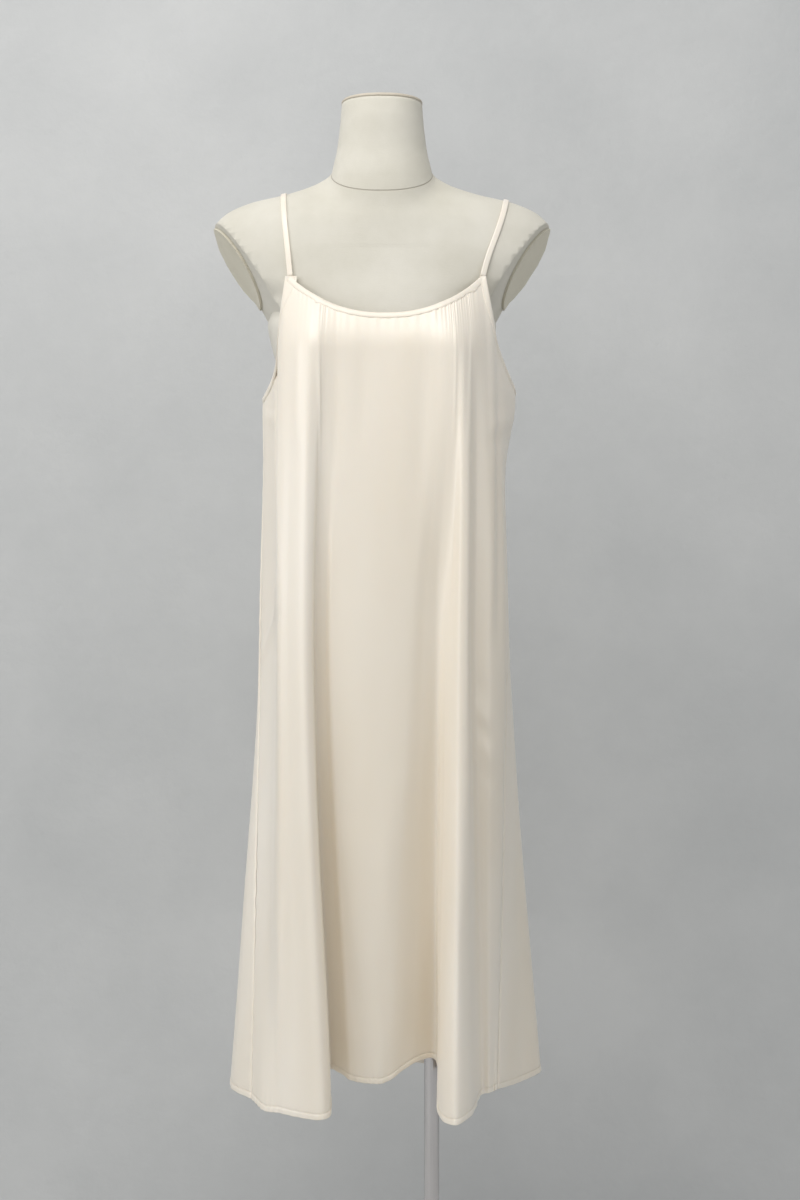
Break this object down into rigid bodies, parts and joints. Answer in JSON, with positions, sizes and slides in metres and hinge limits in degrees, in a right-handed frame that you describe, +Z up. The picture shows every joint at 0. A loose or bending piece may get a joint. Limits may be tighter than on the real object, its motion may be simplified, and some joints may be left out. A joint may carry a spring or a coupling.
{
  "type": "slip midi dress on a limbless dress form with a stand",
  "caption": "Satin slip midi dress with thin straps and a scooped neck, on a limbless linen-covered dress form on a pole and round base.",
  "frame": {"origin": "centre of the base plate's underside, straight below the form's neck", "axes": "+Z up from the base to the neck; the form faces -Y; +X is the wearer's left"},
  "size_m": [0.4214, 0.334, 1.592],
  "materials": {
    "satin": "glossy ivory satin",
    "linen": "matt cream linen cover",
    "cap_cloth": "matt cream cloth cap",
    "chrome": "polished",
    "base_paint": "satin off-white paint"
  },
  "bodies": {
    "root": {"dress_front": "satin", "dress_back": "satin", "neck_binding_front": "satin", "neck_binding_back": "satin", "arm_binding_left": "satin", "arm_binding_right": "satin", "strap_left": "satin", "strap_right": "satin", "form_torso": "linen", "form_neck": "linen", "form_neck_cap": "cap_cloth", "form_arm_plate_left": "cap_cloth", "form_arm_plate_right": "cap_cloth", "pole_flange": "chrome", "pole": "chrome", "pole_collar": "chrome", "base_plate": "base_paint"}
  },
  "joints": []
}
